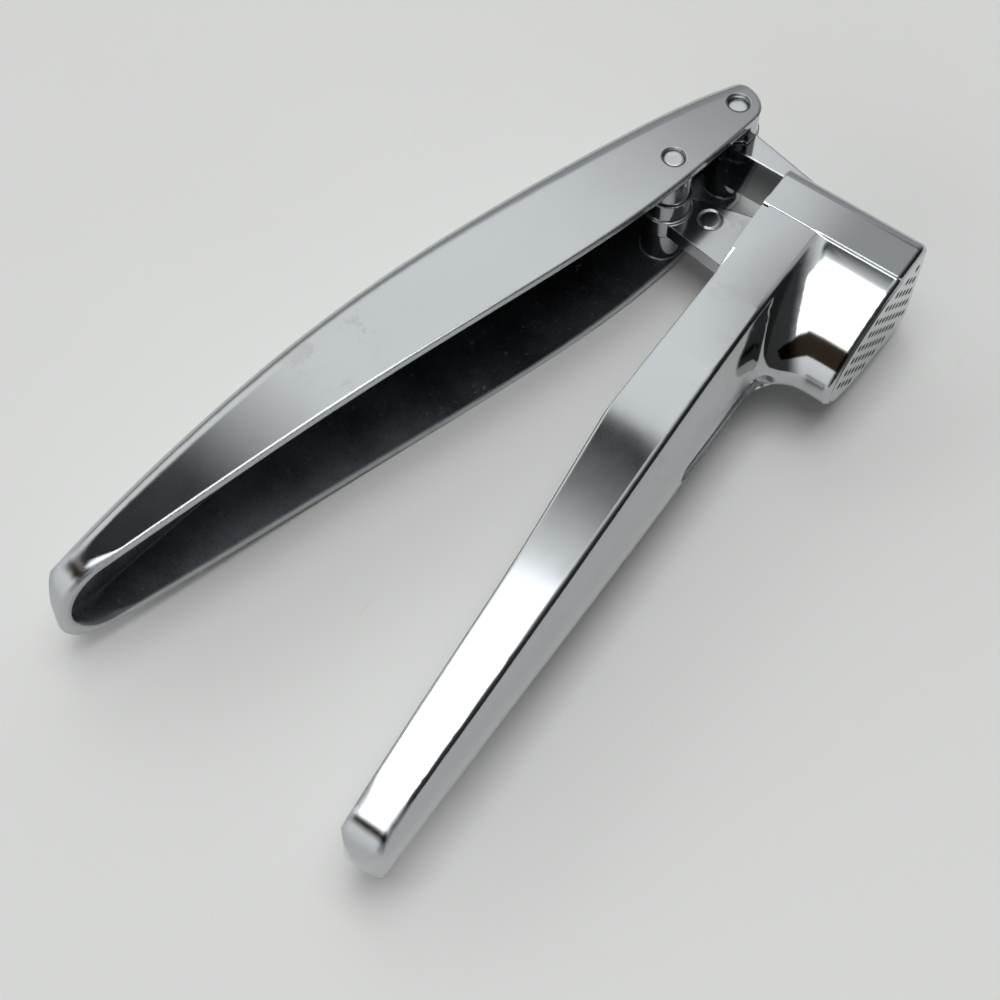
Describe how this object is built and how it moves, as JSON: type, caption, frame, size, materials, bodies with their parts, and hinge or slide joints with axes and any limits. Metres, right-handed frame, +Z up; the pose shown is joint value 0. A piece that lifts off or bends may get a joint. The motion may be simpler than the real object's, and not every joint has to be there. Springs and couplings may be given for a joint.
{
  "type": "garlic press",
  "caption": "Chrome-plated garlic press: a hollow lever handle drives a hinged plunger into the perforated cup at the end of the cup handle.",
  "frame": {"origin": "middle of the bounding box, on the plane the press lies on, handles partly open as at rest", "axes": "+X along the cup handle towards its tip, +Y the pressing direction out through the perforated face, +Z up along the two hinge pins"},
  "size_m": [0.1774, 0.0956, 0.0341],
  "materials": {
    "cup_handle_chrome": "polished chrome plating on die-cast metal",
    "lever_chrome": "chrome plating, satin on the flat sides",
    "plunger_chrome": "chrome plating, as cast inside the cup",
    "pin_steel": "riveted pin ends, dull"
  },
  "bodies": {
    "cup": {"cup_handle": "cup_handle_chrome"},
    "lever": {"lever_handle": "lever_chrome", "pivot_pin": "pin_steel", "plunger_pin": "pin_steel"},
    "plunger": {"plunger": "plunger_chrome"}
  },
  "joints": [
    {"name": "lever_hinge", "type": "hinge", "parent": "cup", "child": "lever", "pos_m": [-0.08347, -0.00153, 0.01704], "axis": [0, 0, 1], "range_deg": [-24, 22]},
    {"name": "plunger_hinge", "type": "hinge", "parent": "lever", "child": "plunger", "pos_m": [-0.06293, -0.00417, 0.01704], "axis": [0, 0, 1], "range_deg": [-20.6, 22.4]}
  ],
  "couplings": [
    {"joint": "plunger_hinge", "follows": "lever_hinge", "ratio": -0.927}
  ]
}
